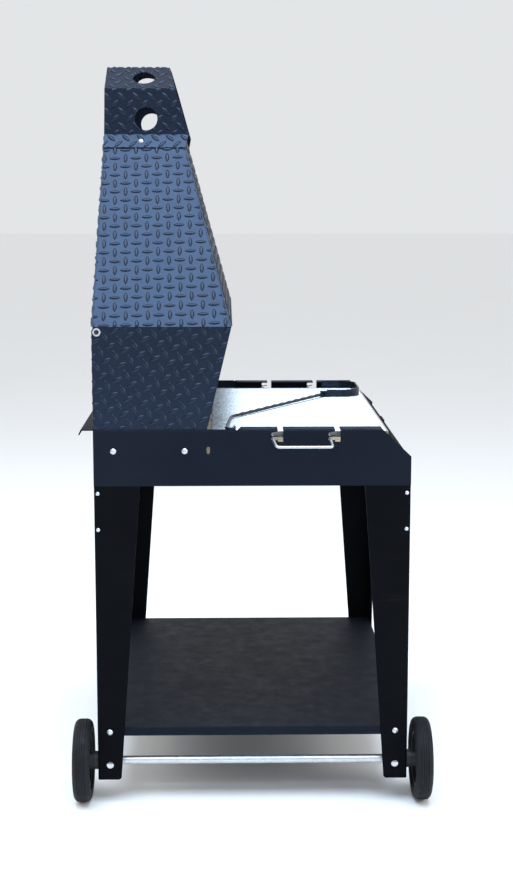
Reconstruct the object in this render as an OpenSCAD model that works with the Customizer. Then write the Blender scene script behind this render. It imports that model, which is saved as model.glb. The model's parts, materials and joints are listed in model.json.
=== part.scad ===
// Charcoal and wood barbecue cart: a firebrick bed under a lift-off grate, a tilting hood of
// tread plate with a folded chimney cap, four tapered legs, a shelf and two wheels on one end.
// X runs along the cart (wheels at -X), Y across it (the user stands at -Y), Z up from the floor.

/* [Fire box] */
// Length of the fire box, over its side panels
body_length = 1000; // [900:10:1100]
// Depth of the fire box, front to back
body_depth = 750; // [700:5:800]
// Height of the fire box's underside above the floor
body_bottom = 784; // [760:1:800]
// Height of the side panels
panel_height = 135; // [130:1:145]
// Thickness of the folded sheet
sheet = 3; // [2:0.5:4]
// How far the side panels stand in front of the front panel
front_recess = 18; // [12:1:24]
// Depth of the sloped cut at the front top corner of a side panel
slope_depth = 69; // [60:1:75]
// Height of that cut
slope_height = 66; // [60:1:72]
// Width of the stiffening flange along a side panel's top
top_flange = 45; // [30:1:50]
// Width of the ledge behind the fire box
back_ledge = 27; // [20:1:40]

/* [Fire bed] */
// Width of one firebrick, along the cart
brick_width = 120; // [110:1:121]
// Length of one firebrick, across the cart
brick_length = 238; // [220:1:238]
// Thickness of one firebrick
brick_thickness = 30; // [25:1:35]
// Joint between two bricks
brick_joint = 3; // [2:0.5:3]

/* [Grate] */
// Length of the grate
grate_length = 860; // [800:5:880]
// Distance from the cart's middle to the grate's front edge
grate_front = 327; // [320:1:340]
// Distance from the cart's middle to the grate's back edge
grate_back = 100; // [80:1:104]
// Diameter of a grate bar
bar_diameter = 5; // [4:0.5:6]
// Pitch of the grate bars
bar_pitch = 12; // [10:0.5:20]
// Diameter of the two carrying rods and of the handles
rod_diameter = 7; // [6:0.5:8]
// Where the rear rod lies in its hook, across the cart
rod_y = -48; // [-52:1:-46]
// Distance between the two rods
rod_spacing = 135; // [120:1:140]
// Height of the rods' axes when they rest in the lower hooks
rod_z = 895.3; // [895:0.1:896]

/* [Hood] */
// Height of the crease between the fixed lower hood and the tilting upper hood
crease_height = 1160; // [1140:1:1180]
// Height of the upper hood, up to the chimney opening
hood_height = 450; // [430:1:470]
// How far each end of the upper hood leans in
hood_end_lean = 344; // [330:1:350]
// Where the front of the upper hood starts, across the cart
hood_front_y = 49; // [40:1:60]
// How far the front of the upper hood leans back
hood_front_lean = 119; // [100:1:125]
// How far the back of the upper hood leans forward
hood_back_lean = 10; // [6:1:14]
// Where the front edge of a cheek meets the side panel, across the cart
cheek_front_y = 107; // [100:1:112]
// Distance of the hinge from the back edge, and below the crease
hinge_inset = 12; // [12:0.5:13]
// Largest angle the upper hood tips back
hood_tip = 60; // [40:5:60]

/* [Chimney cap] */
// Height at which the cap's flaps end on the hood
cap_flap_bottom = 1579; // [1570:1:1590]
// Height at which the cap's upright sides end
cap_side_top = 1727; // [1700:1:1750]
// Height of the cap's flat top
cap_top = 1783; // [1770:1:1800]
// Half the length of the cap's flat top
cap_top_half = 70; // [60:1:80]
// Diameter of the vent holes
vent_diameter = 57; // [50:1:60]

/* [Cart] */
// Width of a leg's flanges at the top
leg_top_width = 109; // [100:1:115]
// Width of a leg's flanges at the wheel end's bottom
leg_bottom_width = 57; // [54:1:62]
// Height of the wheel end's legs above the floor
wheel_leg_bottom = 60; // [50:1:70]
// Height of the shelf's surface
shelf_top = 191; // [180:1:220]
// Depth of the shelf's turned-down rim
shelf_rim = 21; // [18:1:25]
// Diameter of the wheels
wheel_diameter = 200; // [192:1:204]
// Width of the tyres
tyre_width = 42; // [38:1:46]
// Distance of a wheel's middle from the cart's middle
wheel_y = 412; // [410:1:416]
// Diameter of the axle
axle_diameter = 20; // [18:1:20]
// Distance of the axle from the end of the cart
axle_inset = 28; // [26:1:30]

/* [Ember rake] */
// Side of the rake's square rod
rake_rod_side = 7; // [6:0.5:8]
// Height of the rake's head
rake_head_height = 20; // [16:1:24]
// Width of the rake's head
rake_head_width = 232; // [180:1:240]
// Depth of the rake's head
rake_head_depth = 96; // [80:1:110]

/* [Hidden] */

$fn = 48;
eps = 0.5;
gap = 0.4;
shank_slack = 0.25;
running_slack = 0.05;

half_length = body_length / 2;
half_depth = body_depth / 2;
panel_top = body_bottom + panel_height;
inner_x = half_length - sheet;
cheek_inner_x = inner_x - sheet;
front_y = -half_depth + front_recess;
slope_top_y = -half_depth + slope_depth;
slope_bottom_z = panel_top - slope_height;
front_top_z = slope_bottom_z + front_recess * slope_height / slope_depth;
floor_top = body_bottom + sheet;
brick_columns = 8;
brick_rows = 3;

// The wheels reach further than the far handle, so the cart's middle is off the origin
handle_reach = 30;
knuckle_diameter = rod_diameter + 0.4;
wheel_radius = wheel_diameter / 2;
cart_x = (wheel_radius - axle_inset - handle_reach - knuckle_diameter / 2) / 2;

neck_width = 12.7;
hook_radius = 4.5;
hook_reach = 17.5;
hook_slope = 10;
hook_pitch = 11;
neck_bottom = 889;
neck_y = rod_y - hook_reach;
hook_z = rod_z - rod_diameter / 2 + hook_radius - gap;
flange_start_y = 35;
flange_mitre = 8;
vent_slot = [8, 18];
vent_slot_at = [104.6, 869];

bar_z = rod_z + rod_diameter / 2 + bar_diameter / 2;
grate_top = bar_z + bar_diameter / 2;
grate_rim = 14;
grate_sheet = 4;
half_grate = grate_length / 2;

end_slope = hood_end_lean / hood_height;
front_slope = hood_front_lean / hood_height;
back_slope = hood_back_lean / hood_height;
hood_top = crease_height + hood_height;
hood_base = crease_height + gap;
hinge_y = half_depth - hinge_inset;
hinge_z = crease_height - hinge_inset;
hinge_radius = 4;
back_set_in = 0.7;
lower_back_y = half_depth - sheet - back_set_in;
lower_back_top = hinge_z + 9.5;
ear_notch = [20, lower_back_top - hinge_z + 5];
cheek_tab_bottom = 850;
cheek_bolt_places = [[328, 867], [160, 867]];
bolt_head = 7;
bolt_shank = 4;
nut_across = 13;
nut_height = 6;
screw_head = 4.5;
screw_shank = 2.5;

ear_thickness = 4;
ear_outer_x = cheek_inner_x - gap - 0.1;
ear_length = 45;
ear_leaf = 55;
ear_radius = 8.5;

cap_side_x = half_length - hood_end_lean - 2;
cap_front_y = 155;
cap_front_slope = 0.28;
cap_flap_front_y = 162;
vent_y = 260;
side_vent_z = 1652;
roof_vent_x = 113;
roof_vent_y = 266;
cap_bolt_y = 272;
cap_bolt_z = 1596;
cap_bolt_shank = 3;

axle_x = -half_length + axle_inset;
axle_z = wheel_radius;
axle_radius = axle_diameter / 2;
axle_end = 428.5;
hub_inner = 25;
hub_outer = 8;
rim_radius = 70;
spacer_radius = 22;
washer_radius = 18;
washer_thickness = 3;

shelf_bolt_inset = 29.5;
shelf_bolt_z = 179.5;
window_z = 96;
window_radius = 8.5;
screw_inset = 9;
screw_heights = [18, 105];
foot_sheet = 4;
foot_height = 20;

rake_z = grate_top + gap + rake_rod_side * sqrt(2) / 2;
rake_rise = 3;
rake_rod_diameter = 1.2 * rake_rod_side;
rake_knuckle = 1.3 * rake_rod_side;
rake_bend = [-212, 50];
rake_end = [-412, 62];
rake_hook = 10;
rake_hook_return = 22;
rake_rod_end = [226, -214];
rake_head_x = 333;
rake_head_y = -220;
rake_corner = 62;
rake_band = 4;
rake_socket_size = [9, 30, 16];

panel_paint = [0.10, 0.11, 0.14];
leg_paint = [0.07, 0.07, 0.08];
tread_paint = [0.20, 0.24, 0.33];
zinc = [0.72, 0.74, 0.76];
stainless = [0.86, 0.87, 0.88];
brick_colour = [0.86, 0.76, 0.62];
rubber = [0.09, 0.09, 0.10];
hub_colour = [0.13, 0.13, 0.14];
iron = [0.13, 0.13, 0.15];

function unit(v) = v / norm(v);
function side_of(a, b) = let (d = unit(b - a)) [-d.y, d.x];
function before(p, i) = side_of(p[max(i - 1, 0)], p[max(i, 1)]);
function after(p, i) = let (k = min(i, len(p) - 2)) side_of(p[k], p[k + 1]);
// A point of the sheet's other face, with mitred folds; t is the thickness, to the left of the path
function mitred(p, i, t) = let (n0 = before(p, i), n1 = after(p, i)) p[i] + (n0 + n1) * t / (1 + n0 * n1);

// The outline of a sheet folded along a path
module folded(path, t) {
    polygon(concat(path, [for (i = [len(path) - 1:-1:0]) mitred(path, i, t)]));
}

// The cart's own middle, seen from the part's origin
module on_cart() {
    translate([cart_x, 0, 0]) children();
}

// A flat outline in Y and Z, given a thickness along X
module along_x(from, to) {
    translate([from, 0, 0]) rotate([90, 0, 90]) linear_extrude(to - from) children();
}

// A flat outline in X and Z, given a thickness along Y
module along_y(from, to) {
    translate([0, to, 0]) rotate([90, 0, 0]) linear_extrude(to - from) children();
}

module both_ends() {
    children();
    mirror([1, 0, 0]) children();
}

module both_sides() {
    children();
    mirror([0, 1, 0]) children();
}

module rod(from, to, d) {
    v = to - from;
    translate(from)
        rotate([0, acos(v.z / norm(v)), atan2(v.y, v.x)])
            cylinder(h = norm(v), d = d);
}

module ball(at, d) {
    translate(at) sphere(d = d);
}

// A domed bolt whose head's underside is at the origin and whose shank runs along +X
module bolt(head, shank, reach) {
    intersection() {
        rotate([0, -90, 0]) cylinder(r = head, h = head * 0.45);
        translate([head * 0.85, 0, 0]) sphere(r = head * 1.32);
    }
    rotate([0, 90, 0]) cylinder(r = shank, h = reach);
}

module nut(across, height, shank) {
    rotate([0, 90, 0])
        difference() {
            cylinder(r = across / 2 / cos(30), h = height, $fn = 6);
            translate([0, 0, -eps]) cylinder(r = shank + shank_slack, h = height + 2 * eps);
        }
}

// ---------------------------------------------------------------- fire box

module side_outline() {
    polygon([
        [half_depth, body_bottom], [half_depth, panel_top], [slope_top_y, panel_top],
        [-half_depth, slope_bottom_z], [-half_depth, body_bottom]
    ]);
}

// A hook with a round end, sloping up to the neck beside it; c is the middle of the round end
module hook(c) {
    along = [-cos(hook_slope), sin(hook_slope)];
    across = [sin(hook_slope), cos(hook_slope)];
    polygon(concat(
        [for (a = [90:-10:-90]) c + hook_radius * (sin(a) * across - cos(a) * along)],
        [c + hook_reach * along - hook_radius * across, c + hook_reach * along + hook_radius * across]
    ));
}

// The neck and the two hooks that one rod of the grate drops into, cut through the panel
module hook_slot(y) {
    translate([-half_length - eps, y - neck_width / 2, neck_bottom])
        cube([top_flange + 2 * eps, neck_width, panel_top - neck_bottom + eps]);
    for (level = [0, 1])
        along_x(-half_length - eps, -inner_x + eps) hook([y + hook_reach, hook_z + level * hook_pitch]);
}

module oval_slot() {
    r = vent_slot.x / 2;
    up = [0, vent_slot.y / 2 - r];
    polygon(concat(
        [for (a = [0:15:180]) vent_slot_at + up + r * [cos(a), sin(a)]],
        [for (a = [180:15:360]) vent_slot_at - up + r * [cos(a), sin(a)]]
    ));
}

module across_panel(p, r) {
    translate([-half_length - eps, p.x, p.y])
        rotate([0, 90, 0]) cylinder(r = r, h = 2 * sheet + 2 * eps);
}

module flange_plan() {
    polygon([
        [-half_length, flange_start_y], [-half_length + top_flange, flange_start_y - flange_mitre],
        [-half_length + top_flange, slope_top_y], [-half_length, slope_top_y]
    ]);
}

module side_panel() {
    difference() {
        union() {
            along_x(-half_length, -inner_x) side_outline();
            translate([0, 0, panel_top - sheet]) linear_extrude(sheet) flange_plan();
        }
        for (k = [0, 1]) hook_slot(neck_y - k * rod_spacing);
        for (p = cheek_bolt_places) across_panel(p, bolt_shank + shank_slack);
        along_x(-half_length - eps, -inner_x + eps) oval_slot();
        // Relief where the top flange starts
        translate([-half_length - eps, flange_start_y + 2, panel_top])
            rotate([45, 0, 0])
                translate([0, -2, -2]) cube([sheet + 2 * eps, 4, 4]);
    }
}

module side_panel_left() color(panel_paint) on_cart() side_panel();
module side_panel_right() color(panel_paint) on_cart() mirror([1, 0, 0]) side_panel();

module front_panel() color(panel_paint) on_cart() {
    tab_length = 80;
    tab_height = 5;
    translate([-inner_x, front_y, body_bottom])
        cube([2 * inner_x, sheet, front_top_z - body_bottom]);
    translate([-tab_length / 2, front_y, front_top_z - eps])
        cube([tab_length, sheet, tab_height + eps]);
}

module back_panel() color(panel_paint) on_cart() {
    lip = 12;
    lip_angle = 64;
    ledge_y = half_depth + back_ledge;
    path = [
        [half_depth, body_bottom], [half_depth, panel_top - sheet], [ledge_y, panel_top - sheet],
        [ledge_y + lip * cos(lip_angle), panel_top - sheet - lip * sin(lip_angle)]
    ];
    along_x(-inner_x, inner_x) folded(path, sheet);
}

module firebox_floor() color(panel_paint) on_cart()
    translate([-inner_x, front_y + sheet, body_bottom])
        cube([2 * inner_x, half_depth - front_y - 2 * sheet, sheet]);

module firebricks() color(brick_colour) on_cart() {
    step = [brick_width + brick_joint, brick_length + brick_joint];
    bed_y = (front_y + half_depth) / 2;
    for (i = [0:brick_columns - 1], j = [0:brick_rows - 1])
        translate([
            (i - brick_columns / 2) * step.x + brick_joint / 2,
            bed_y + (j - brick_rows / 2) * step.y + brick_joint / 2,
            floor_top
        ])
            cube([brick_width, brick_length, brick_thickness]);
}

// ---------------------------------------------------------------- legs, shelf and wheels

function leg_width(z) =
    leg_bottom_width
    + (leg_top_width - leg_bottom_width) * (z - wheel_leg_bottom) / (body_bottom - wheel_leg_bottom);

// One tapered flange, from the corner inwards, with its lower inner corner rounded
module leg_flange(bottom) {
    r = 8;
    w = leg_width(bottom);
    polygon([
        [0, bottom], [w - r, bottom], [w, bottom + r], [leg_top_width, body_bottom], [0, body_bottom]
    ]);
    translate([w - r, bottom + r]) circle(r = r);
}

// A folded leg with its corner at the origin, its flanges along +X and +Y
module folded_leg(bottom) {
    bend = 5;
    tab = 60;
    height = body_bottom - bottom;
    intersection() {
        translate([0, 0, bottom])
            linear_extrude(height)
                difference() {
                    union() {
                        translate([bend, 0]) square(leg_top_width);
                        translate([0, bend]) square(leg_top_width);
                        translate([bend, bend]) circle(r = bend);
                    }
                    translate([sheet, sheet]) square(leg_top_width + bend + eps);
                }
        along_y(-eps, leg_top_width + bend) leg_flange(bottom);
        along_x(-eps, leg_top_width + bend) leg_flange(bottom);
    }
    // Turned-in flange that bolts up to the fire box
    translate([sheet, sheet, body_bottom - sheet]) cube([tab, tab, sheet]);
}

module leg(bottom) {
    difference() {
        translate([-half_length, -half_depth, 0]) folded_leg(bottom);
        translate([-half_length - eps, -half_depth + shelf_bolt_inset, shelf_bolt_z])
            rotate([0, 90, 0]) cylinder(r = bolt_shank + shank_slack, h = sheet + 2 * eps);
        for (h = screw_heights)
            translate([-half_length - eps, -half_depth + screw_inset, body_bottom - h])
                rotate([0, 90, 0]) cylinder(r = screw_shank + shank_slack, h = sheet + 2 * eps);
        children();
    }
}

// A leg at the wheel end, with the axle's hole and a window in front of the axle
module wheel_leg() {
    leg(wheel_leg_bottom) {
        translate([axle_x, -half_depth + sheet + eps, axle_z])
            rotate([90, 0, 0]) cylinder(r = axle_radius + shank_slack, h = sheet + 2 * eps);
        translate([-half_length - eps, -half_depth + shelf_bolt_inset, window_z])
            rotate([0, 90, 0]) cylinder(r = window_radius, h = sheet + 2 * eps);
    }
}

module standing_leg() {
    mirror([1, 0, 0]) leg(foot_sheet);
}

module leg_front_left() color(leg_paint) on_cart() wheel_leg();
module leg_rear_left() color(leg_paint) on_cart() mirror([0, 1, 0]) wheel_leg();
module leg_front_right() color(leg_paint) on_cart() standing_leg();
module leg_rear_right() color(leg_paint) on_cart() mirror([0, 1, 0]) standing_leg();

module leg_gussets() color(leg_paint) on_cart() {
    flange = 22;
    height = 125;
    top = body_bottom - sheet;
    both_ends() both_sides()
        difference() {
            translate([-inner_x, -half_depth + sheet, top - height])
                linear_extrude(height)
                    difference() {
                        square(flange);
                        translate([sheet, sheet]) square(flange);
                    }
            for (h = screw_heights)
                translate([-inner_x - eps, -half_depth + screw_inset, body_bottom - h])
                    rotate([0, 90, 0]) cylinder(r = screw_shank + shank_slack, h = sheet + 2 * eps);
        }
}

module leg_screws() color(zinc) on_cart()
    both_ends() both_sides()
        for (h = screw_heights)
            translate([-half_length, -half_depth + screw_inset, body_bottom - h])
                bolt(screw_head, screw_shank, 2 * sheet + 5);

// A plastic cap over a standing leg's end
module foot_cap() {
    wall = 3;
    w = leg_width(foot_height) + wall;
    translate([half_length + wall, -half_depth - wall, 0])
        mirror([1, 0, 0])
            difference() {
                linear_extrude(foot_height) {
                    square([w + wall, 3 * wall]);
                    square([3 * wall, w + wall]);
                }
                translate([wall, wall, foot_sheet])
                    linear_extrude(foot_height) {
                        square([w - wall, wall]);
                        square([wall, w - wall]);
                    }
            }
}

module foot_cap_front() color(rubber) on_cart() foot_cap();
module foot_cap_rear() color(rubber) on_cart() mirror([0, 1, 0]) foot_cap();

module lower_shelf() color(panel_paint) on_cart()
    difference() {
        translate([-inner_x, -half_depth + sheet, shelf_top - shelf_rim])
            cube([2 * inner_x, body_depth - 2 * sheet, shelf_rim]);
        translate([-inner_x + sheet, -half_depth + 2 * sheet, shelf_top - shelf_rim - sheet])
            cube([2 * inner_x - 2 * sheet, body_depth - 4 * sheet, shelf_rim]);
        both_ends() both_sides()
            translate([-inner_x - eps, -half_depth + shelf_bolt_inset, shelf_bolt_z])
                rotate([0, 90, 0]) cylinder(r = bolt_shank + shank_slack, h = sheet + 2 * eps);
    }

module shelf_bolts() color(zinc) on_cart()
    both_ends() both_sides()
        translate([-half_length, -half_depth + shelf_bolt_inset, shelf_bolt_z])
            bolt(bolt_head, bolt_shank, 2 * sheet + 8);

module shelf_nuts() color(zinc) on_cart()
    both_ends() both_sides()
        translate([-half_length + 2 * sheet, -half_depth + shelf_bolt_inset, shelf_bolt_z])
            nut(nut_across, nut_height, bolt_shank);

module on_axle(y) {
    translate([axle_x, y, axle_z]) rotate([-90, 0, 0]) children();
}

module axle() color(zinc) on_cart()
    on_axle(-axle_end) cylinder(r = axle_radius, h = 2 * axle_end);

module ring(outer, bore, width) {
    difference() {
        cylinder(r = outer, h = width);
        translate([0, 0, -eps]) cylinder(r = bore, h = width + 2 * eps);
    }
}

module axle_spacers() color(hub_colour) on_cart()
    both_sides()
        on_axle(half_depth) ring(spacer_radius, axle_radius, wheel_y - hub_inner - gap - half_depth);

module axle_washers() color(zinc) on_cart()
    both_sides()
        on_axle(wheel_y + hub_outer + gap) ring(washer_radius, axle_radius, washer_thickness);

module axle_caps() color(zinc) on_cart() {
    wall = 3;
    start = wheel_y + hub_outer + gap + washer_thickness;
    both_sides()
        on_axle(start)
            difference() {
                cylinder(r = axle_radius + wall, h = axle_end + wall - start);
                translate([0, 0, -eps]) cylinder(r = axle_radius, h = axle_end - start + eps);
            }
}

// A moulded wheel body: a hub that is longer on the cart's side, a web with lightening holes,
// and the rim under the tyre
module wheel_hub() {
    web = 12;
    rim_wall = 8;
    rim_width = 30;
    hub_radius = 20;
    holes = 6;
    hole_radius = 10;
    hole_at = (hub_radius + rim_radius - rim_wall) / 2 + 1;
    difference() {
        union() {
            translate([0, 0, -hub_inner]) cylinder(r = hub_radius, h = hub_inner + hub_outer);
            translate([0, 0, -web / 2]) cylinder(r = rim_radius - rim_wall / 2, h = web);
            translate([0, 0, -rim_width / 2]) ring(rim_radius, rim_radius - rim_wall, rim_width);
        }
        translate([0, 0, -hub_inner - eps])
            cylinder(r = axle_radius + running_slack, h = hub_inner + hub_outer + 2 * eps, $fn = 96);
        for (k = [0:holes - 1])
            rotate(k * 360 / holes)
                translate([hole_at, 0, -web]) cylinder(r = hole_radius, h = 2 * web);
    }
}

module wheel_hub_rear() color(hub_colour) on_cart() on_axle(wheel_y) wheel_hub();
module wheel_hub_front() color(hub_colour) on_cart() mirror([0, 1, 0]) on_axle(wheel_y) wheel_hub();

module rounded(size, r) {
    translate([r, 0]) square([size.x - 2 * r, size.y]);
    translate([0, r]) square([size.x, size.y - 2 * r]);
    for (x = [r, size.x - r], y = [r, size.y - r]) translate([x, y]) circle(r = r);
}

module tyre() {
    shoulder = 14;
    groove = 1.6;
    rotate_extrude($fn = 96)
        difference() {
            translate([rim_radius, -tyre_width / 2])
                rounded([wheel_radius - rim_radius, tyre_width], shoulder);
            for (y = [-9, -3, 3, 9])
                translate([wheel_radius - groove, y - groove / 2]) square([2 * groove, groove]);
        }
}

module tyre_rear() color(rubber) on_cart() on_axle(wheel_y) tyre();
module tyre_front() color(rubber) on_cart() on_axle(-wheel_y) tyre();

// ---------------------------------------------------------------- grate

module grate_frame() color(stainless) on_cart()
    difference() {
        translate([-half_grate, -grate_front, grate_top - grate_rim])
            cube([grate_length, grate_front + grate_back, grate_rim]);
        translate([-half_grate + grate_sheet, -grate_front + grate_sheet, grate_top - grate_rim - eps])
            cube([
                grate_length - 2 * grate_sheet, grate_front + grate_back - 2 * grate_sheet,
                grate_rim + 2 * eps
            ]);
        for (k = [0, 1])
            translate([-half_grate - eps, rod_y - k * rod_spacing, rod_z])
                rotate([0, 90, 0]) cylinder(d = rod_diameter, h = grate_length + 2 * eps);
    }

module grate_bars() color(stainless) on_cart() {
    clear = grate_length - 2 * grate_sheet;
    count = floor(clear / bar_pitch);
    for (i = [0:count - 1])
        translate([(i - (count - 1) / 2) * bar_pitch, -grate_front + grate_sheet, bar_z])
            rotate([-90, 0, 0])
                cylinder(d = bar_diameter, h = grate_front + grate_back - 2 * grate_sheet, $fn = 24);
}

module grate_rods() color(stainless) on_cart()
    for (k = [0, 1])
        translate([-half_length, rod_y - k * rod_spacing, rod_z])
            rotate([0, 90, 0]) cylinder(d = rod_diameter, h = body_length);

// The bent handle that joins the ends of the two rods outside a side panel
module grate_handle() {
    drop = 14.3;
    shift = [-8, -5];
    start = [for (k = [0, 1]) [-half_length - 2, rod_y - k * rod_spacing, rod_z]];
    corner = [for (k = [0, 1]) [-half_length - handle_reach, start[k].y + shift[k], rod_z - drop]];
    difference() {
        union() {
            for (k = [0, 1]) {
                ball(start[k], knuckle_diameter);
                rod(start[k], corner[k], rod_diameter);
                ball(corner[k], knuckle_diameter);
            }
            rod(corner[0], corner[1], rod_diameter);
        }
        translate([-half_length, -half_depth, rod_z - rod_diameter])
            cube([rod_diameter, body_depth, 2 * rod_diameter]);
    }
}

module grate_handle_left() color(stainless) on_cart() grate_handle();
module grate_handle_right() color(stainless) on_cart() mirror([1, 0, 0]) grate_handle();

// ---------------------------------------------------------------- ember rake

function at_height(p, z) = [p.x, p.y, z];

module rake_shaft()
    rod(at_height(rake_bend, rake_z), at_height(rake_rod_end, rake_z + rake_rise), rake_rod_diameter);

module rake_rod() color(iron) on_cart() {
    rake_shaft();
    ball(at_height(rake_bend, rake_z), rake_knuckle);
}

// The smooth end of the rod, bent round into an open hook
module rake_handle() color(iron) on_cart() {
    r = rake_hook;
    turn = [rake_end.x, rake_end.y - r];
    difference() {
        rod(at_height(rake_bend, rake_z), at_height(rake_end, rake_z), rake_rod_side);
        ball(at_height(rake_bend, rake_z), rake_knuckle);
    }
    translate(at_height(turn, rake_z))
        intersection() {
            rotate_extrude() translate([r, 0]) circle(d = rake_rod_side, $fn = 32);
            translate([-2 * r, -2 * r, -r]) cube([2 * r, 4 * r, 2 * r]);
        }
    rod(
        at_height(turn - [0, r], rake_z),
        at_height(turn + [rake_hook_return, -r], rake_z),
        rake_rod_side
    );
}

// The block inside the head's near leg that takes the rod's end
module rake_socket() color(iron) on_cart()
    difference() {
        translate([rake_head_x - rake_head_width / 2 + rake_band, rake_head_y - 12, grate_top + gap])
            cube(rake_socket_size);
        rake_shaft();
    }

// The rake head's outline, drawn in from its outer face; it is cut off straight at y = 0
module rake_plan(inset) {
    w = rake_head_width - 2 * inset;
    c = rake_corner - inset;
    translate([-w / 2, -rake_head_depth + rake_corner]) square([w, rake_head_depth - rake_corner + inset]);
    translate([-w / 2 + c, -rake_head_depth + inset]) square([w - 2 * c, c]);
    for (s = [-1, 1]) translate([s * (w / 2 - c), -rake_head_depth + rake_corner]) circle(r = c);
}

// A flat band on edge, bent to a shallow U that opens towards the back
module rake_head() color(iron) on_cart()
    translate([rake_head_x, rake_head_y, grate_top + gap])
        linear_extrude(rake_head_height)
            difference() {
                rake_plan(0);
                rake_plan(rake_band);
                translate([-rake_head_width, 0]) square(2 * rake_head_width);
            }

// ---------------------------------------------------------------- lower hood

// The cheek's corner round the hinge, kept clear of the hood's lower edge as it tips back
function hinge_corner() =
    let (
        r = hinge_inset,
        steps = 4,
        arc = [for (k = [0:steps]) [r * sin(hood_tip * k / steps), r * cos(hood_tip * k / steps)]],
        tip = arc[steps]
    )
    [for (p = concat(arc, [[r, tip.y - (r - tip.x) * tan(hood_tip)]])) [hinge_y, hinge_z] + p];

// A cheek, with the tab inside the fire box that its bolts go through
module cheek() {
    tab_front = cheek_front_y + 20;
    tab_back = half_depth - sheet - 1;
    along_x(-inner_x, -cheek_inner_x)
        difference() {
            polygon(concat(
                [
                    [half_depth, panel_top], [tab_back, panel_top], [tab_back, cheek_tab_bottom],
                    [tab_front, cheek_tab_bottom], [tab_front, panel_top], [cheek_front_y, panel_top],
                    [hood_front_y, crease_height]
                ],
                hinge_corner()
            ));
            translate([hinge_y, hinge_z]) circle(r = hinge_radius);
            for (p = cheek_bolt_places) translate(p) circle(r = bolt_shank + shank_slack);
        }
}

module hood_cheek_left() color(tread_paint) on_cart() cheek();
module hood_cheek_right() color(tread_paint) on_cart() mirror([1, 0, 0]) cheek();

// The plate behind the fire bed, notched at the top corners where the hinge ears swing
module hood_lower_back() color(tread_paint) on_cart()
    difference() {
        translate([-cheek_inner_x, lower_back_y, panel_top])
            cube([2 * cheek_inner_x, sheet, lower_back_top - panel_top]);
        both_ends()
            translate([-cheek_inner_x - eps, lower_back_y - eps, lower_back_top - ear_notch.y])
                cube([ear_notch.x + eps, sheet + 2 * eps, ear_notch.y + eps]);
    }

// A strip inside the lower back's top, closing the gap under the upper hood's back
module hood_back_strip() color(tread_paint) on_cart() {
    lap = 15;
    rise = 14;
    half = cheek_inner_x - ear_notch.x;
    translate([-half, lower_back_y - sheet, lower_back_top - lap]) cube([2 * half, sheet, lap + rise]);
}

module cheek_bolts() color(zinc) on_cart()
    both_ends()
        for (p = cheek_bolt_places)
            translate([-half_length, p.x, p.y]) bolt(bolt_head, bolt_shank, 2 * sheet + 8);

module cheek_nuts() color(zinc) on_cart()
    both_ends()
        for (p = cheek_bolt_places)
            translate([-cheek_inner_x, p.x, p.y]) nut(nut_across, nut_height, bolt_shank);

module hinge_pins() color(zinc) on_cart() {
    head = 9.5;
    head_height = 4;
    both_ends()
        translate([-inner_x, hinge_y, hinge_z])
            rotate([0, 90, 0])
                difference() {
                    union() {
                        translate([0, 0, -head_height]) cylinder(r = head, h = head_height);
                        cylinder(r = hinge_radius, h = sheet + 14, $fn = 96);
                    }
                    translate([0, 0, -head_height - eps]) cylinder(r = head * 0.6, h = head_height - 1 + eps);
                }
}

module hinge_nuts() color(zinc) on_cart()
    both_ends()
        translate([-ear_outer_x + ear_thickness + gap, hinge_y, hinge_z])
            rotate([0, 90, 0]) ring(7, hinge_radius, 6);

// ---------------------------------------------------------------- upper hood and chimney cap

function end_x(z) = half_length - end_slope * (z - crease_height);
function front_y_at(z) = hood_front_y + front_slope * (z - crease_height);
function back_y_at(z) = half_depth - back_slope * (z - crease_height);

// The hood seen from the front, out to the ends' outer faces
module hood_face() {
    polygon([
        [-end_x(hood_base), hood_base], [end_x(hood_base), hood_base],
        [end_x(hood_top), hood_top], [-end_x(hood_top), hood_top]
    ]);
}

// The hood seen from the end, inside its front and back sheets
module hood_side() {
    front = sheet * norm([front_slope, 1]) + 0.05;
    back = sheet * norm([back_slope, 1]) + 0.05;
    polygon([
        [front_y_at(hood_base) + front, hood_base], [back_y_at(hood_base) - back, hood_base],
        [back_y_at(hood_top) - back, hood_top], [front_y_at(hood_top) + front, hood_top]
    ]);
}

module hood_front() color(tread_paint) on_cart()
    intersection() {
        along_x(-half_length, half_length)
            folded([[front_y_at(hood_top), hood_top], [front_y_at(hood_base), hood_base]], sheet);
        along_y(-half_depth, half_depth) hood_face();
    }

module hood_back() color(tread_paint) on_cart()
    intersection() {
        along_x(-half_length, half_length)
            folded([[back_y_at(hood_base), hood_base], [back_y_at(hood_top), hood_top]], sheet);
        along_y(-half_depth, half_depth) hood_face();
    }

module hood_end()
    difference() {
        intersection() {
            along_y(-half_depth, half_depth)
                folded([[-end_x(hood_top), hood_top], [-end_x(hood_base), hood_base]], sheet);
            along_x(-half_length, 0) hood_side();
            translate([-half_length, -half_depth, hood_base])
                cube([half_length, body_depth, hood_height - gap]);
        }
        cap_bolt_hole(0, sheet);
    }

module hood_end_left() color(tread_paint) on_cart() hood_end();
module hood_end_right() color(tread_paint) on_cart() mirror([1, 0, 0]) hood_end();

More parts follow.
